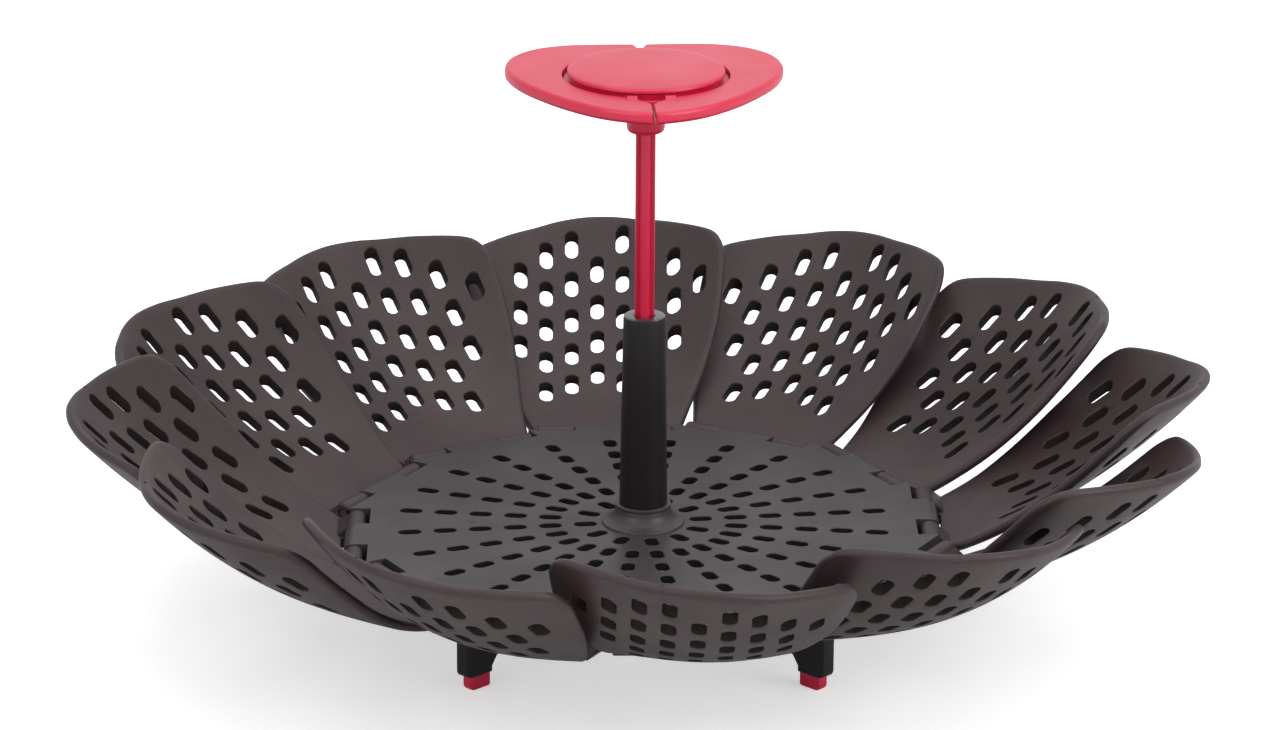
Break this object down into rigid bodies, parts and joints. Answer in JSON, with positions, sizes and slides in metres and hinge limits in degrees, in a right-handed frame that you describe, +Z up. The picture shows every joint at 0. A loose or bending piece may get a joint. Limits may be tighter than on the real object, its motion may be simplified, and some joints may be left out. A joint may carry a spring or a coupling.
{
  "type": "folding steamer basket",
  "caption": "Folding steamer basket: slotted floor with hinged slotted petals, short legs and a telescopic centre handle with a heart-shaped folding knob",
  "frame": {"origin": "on the table, under the middle of the basket, which stands on its four feet", "axes": "+Z up along the handle; petal_01 faces +Y and the point of the heart-shaped knob faces -Y"},
  "size_m": [0.2772, 0.2772, 0.1423],
  "materials": {
    "plate_plastic": "satin moulded nylon",
    "petal_plastic": "satin moulded nylon",
    "black_plastic": "satin moulded nylon",
    "red_plastic": "semi-gloss moulded plastic"
  },
  "bodies": {
    "base": {"base_plate": "plate_plastic", "post": "black_plastic", "post_retainer": "black_plastic", "leg_1": "black_plastic", "leg_2": "black_plastic", "leg_3": "black_plastic", "leg_4": "black_plastic", "foot_1": "red_plastic", "foot_2": "red_plastic", "foot_3": "red_plastic", "foot_4": "red_plastic"},
    "petal_01": {"petal_01": "petal_plastic"},
    "petal_02": {"petal_02": "petal_plastic"},
    "petal_03": {"petal_03": "petal_plastic"},
    "petal_04": {"petal_04": "petal_plastic"},
    "petal_05": {"petal_05": "petal_plastic"},
    "petal_06": {"petal_06": "petal_plastic"},
    "petal_07": {"petal_07": "petal_plastic"},
    "petal_08": {"petal_08": "petal_plastic"},
    "petal_09": {"petal_09": "petal_plastic"},
    "petal_10": {"petal_10": "petal_plastic"},
    "petal_11": {"petal_11": "petal_plastic"},
    "petal_12": {"petal_12": "petal_plastic"},
    "handle": {"rod": "red_plastic", "knob_hub": "red_plastic", "knob_disc": "red_plastic"},
    "wing_left": {"wing_left": "red_plastic"},
    "wing_right": {"wing_right": "red_plastic"}
  },
  "joints": [
    {"name": "petal_01_hinge", "type": "hinge", "parent": "base", "child": "petal_01", "pos_m": [-0.00876, 0.07, 0.0247], "axis": [1, 0, 0], "range_deg": [0, 100]},
    {"name": "petal_02_hinge", "type": "hinge", "parent": "base", "child": "petal_02", "pos_m": [0.02741, 0.065, 0.0247], "axis": [0.866, -0.5, 0], "range_deg": [0, 100]},
    {"name": "petal_03_hinge", "type": "hinge", "parent": "base", "child": "petal_03", "pos_m": [0.05624, 0.04259, 0.0247], "axis": [0.5, -0.866, 0], "range_deg": [0, 100]},
    {"name": "petal_04_hinge", "type": "hinge", "parent": "base", "child": "petal_04", "pos_m": [0.07, 0.00876, 0.0247], "axis": [0, -1, 0], "range_deg": [0, 100]},
    {"name": "petal_05_hinge", "type": "hinge", "parent": "base", "child": "petal_05", "pos_m": [0.065, -0.02741, 0.0247], "axis": [-0.5, -0.866, 0], "range_deg": [0, 100]},
    {"name": "petal_06_hinge", "type": "hinge", "parent": "base", "child": "petal_06", "pos_m": [0.04259, -0.05624, 0.0247], "axis": [-0.866, -0.5, 0], "range_deg": [0, 100]},
    {"name": "petal_07_hinge", "type": "hinge", "parent": "base", "child": "petal_07", "pos_m": [0.00876, -0.07, 0.0247], "axis": [-1, 0, 0], "range_deg": [0, 100]},
    {"name": "petal_08_hinge", "type": "hinge", "parent": "base", "child": "petal_08", "pos_m": [-0.02741, -0.065, 0.0247], "axis": [-0.866, 0.5, 0], "range_deg": [0, 100]},
    {"name": "petal_09_hinge", "type": "hinge", "parent": "base", "child": "petal_09", "pos_m": [-0.05624, -0.04259, 0.0247], "axis": [-0.5, 0.866, 0], "range_deg": [0, 100]},
    {"name": "petal_10_hinge", "type": "hinge", "parent": "base", "child": "petal_10", "pos_m": [-0.07, -0.00876, 0.0247], "axis": [0, 1, 0], "range_deg": [0, 100]},
    {"name": "petal_11_hinge", "type": "hinge", "parent": "base", "child": "petal_11", "pos_m": [-0.065, 0.02741, 0.0247], "axis": [0.5, 0.866, 0], "range_deg": [0, 100]},
    {"name": "petal_12_hinge", "type": "hinge", "parent": "base", "child": "petal_12", "pos_m": [-0.04259, 0.05624, 0.0247], "axis": [0.866, 0.5, 0], "range_deg": [0, 100]},
    {"name": "handle_slide", "type": "slide", "parent": "base", "child": "handle", "axis": [0, 0, 1], "range_m": [-0.0458, 0]},
    {"name": "wing_right_fold", "type": "hinge", "parent": "handle", "child": "wing_right", "pos_m": [0.0045, 0.0002, 0.1395], "axis": [0.0436, -0.999, 0], "range_deg": [0, 90]},
    {"name": "wing_left_fold", "type": "hinge", "parent": "handle", "child": "wing_left", "pos_m": [-0.0045, -0.0002, 0.1395], "axis": [-0.0436, 0.999, 0], "range_deg": [0, 90]}
  ],
  "couplings": [
    {"joint": "petal_02_hinge", "follows": "petal_01_hinge", "ratio": 1},
    {"joint": "petal_03_hinge", "follows": "petal_01_hinge", "ratio": 1},
    {"joint": "petal_04_hinge", "follows": "petal_01_hinge", "ratio": 1},
    {"joint": "petal_05_hinge", "follows": "petal_01_hinge", "ratio": 1},
    {"joint": "petal_06_hinge", "follows": "petal_01_hinge", "ratio": 1},
    {"joint": "petal_07_hinge", "follows": "petal_01_hinge", "ratio": 1},
    {"joint": "petal_08_hinge", "follows": "petal_01_hinge", "ratio": 1},
    {"joint": "petal_09_hinge", "follows": "petal_01_hinge", "ratio": 1},
    {"joint": "petal_10_hinge", "follows": "petal_01_hinge", "ratio": 1},
    {"joint": "petal_11_hinge", "follows": "petal_01_hinge", "ratio": 1},
    {"joint": "petal_12_hinge", "follows": "petal_01_hinge", "ratio": 1}
  ]
}
